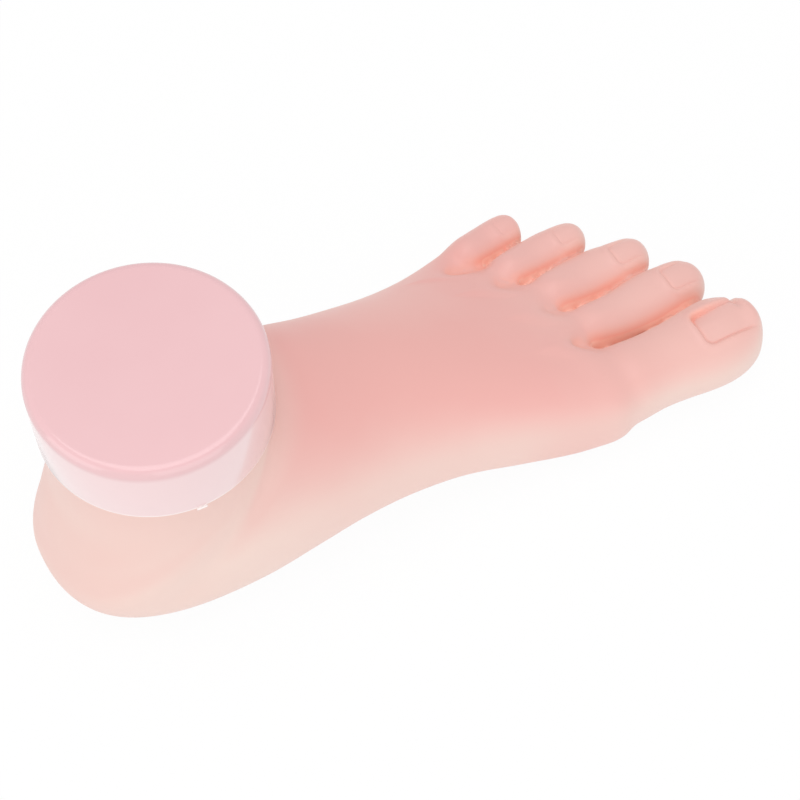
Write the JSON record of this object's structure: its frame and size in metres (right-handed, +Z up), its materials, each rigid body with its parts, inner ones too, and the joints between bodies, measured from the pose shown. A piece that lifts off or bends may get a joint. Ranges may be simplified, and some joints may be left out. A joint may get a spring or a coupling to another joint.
{
  "type": "toenail training foot",
  "caption": "Life-size left practice foot for toenail work: soft skin over a rigid core, posable toes with nail beds, and a round push-fit ankle cap.",
  "frame": {"origin": "on the flat of the heel that the foot rests on, straight under the axis of the ankle and its cap", "axes": "+X from the ankle towards the toes, +Y towards the little toe, +Z up out of the cap"},
  "size_m": [0.2236, 0.0852, 0.088],
  "materials": {
    "skin": "satin, soft moulded skin",
    "cap": "glossy moulded pink",
    "core": "plain moulded, off white",
    "plate": "satin moulded, off white",
    "steel": "zinc-plated steel",
    "grip": "matt rubber ring"
  },
  "bodies": {
    "foot": {"foot_skin": "skin", "foot_core": "core", "ankle_plate": "plate", "plate_screw_1": "steel", "plate_screw_2": "steel", "plate_screw_3": "steel", "cap_grip_ring": "grip", "toe_pin_1": "steel", "toe_pin_2": "steel", "toe_pin_3": "steel", "toe_pin_4": "steel", "toe_pin_5": "steel"},
    "cap": {"ankle_cap": "cap"},
    "big_toe": {"toe_skin_1": "skin", "toe_bone_1": "core"},
    "second_toe": {"toe_skin_2": "skin", "toe_bone_2": "core"},
    "third_toe": {"toe_skin_3": "skin", "toe_bone_3": "core"},
    "fourth_toe": {"toe_skin_4": "skin", "toe_bone_4": "core"},
    "little_toe": {"toe_skin_5": "skin", "toe_bone_5": "core"}
  },
  "joints": [
    {"name": "cap_pull", "type": "slide", "parent": "foot", "child": "cap", "axis": [0, 0, 1], "range_m": [0, 0.04]},
    {"name": "big_toe_bend", "type": "hinge", "parent": "foot", "child": "big_toe", "pos_m": [0.137, -0.02729, 0.0131], "axis": [0.0314, -0.9995, 0], "range_deg": [-15, 30]},
    {"name": "second_toe_bend", "type": "hinge", "parent": "foot", "child": "second_toe", "pos_m": [0.136, -0.0062, 0.0113], "axis": [0.0785, -0.9969, 0], "range_deg": [-15, 30]},
    {"name": "third_toe_bend", "type": "hinge", "parent": "foot", "child": "third_toe", "pos_m": [0.1325, 0.00978, 0.0107], "axis": [0.1115, -0.9938, 0], "range_deg": [-15, 30]},
    {"name": "fourth_toe_bend", "type": "hinge", "parent": "foot", "child": "fourth_toe", "pos_m": [0.125, 0.02371, 0.0101], "axis": [0.1564, -0.9877, 0], "range_deg": [-15, 30]},
    {"name": "little_toe_bend", "type": "hinge", "parent": "foot", "child": "little_toe", "pos_m": [0.1165, 0.03608, 0.0093], "axis": [0.1908, -0.9816, 0], "range_deg": [-15, 30]}
  ]
}
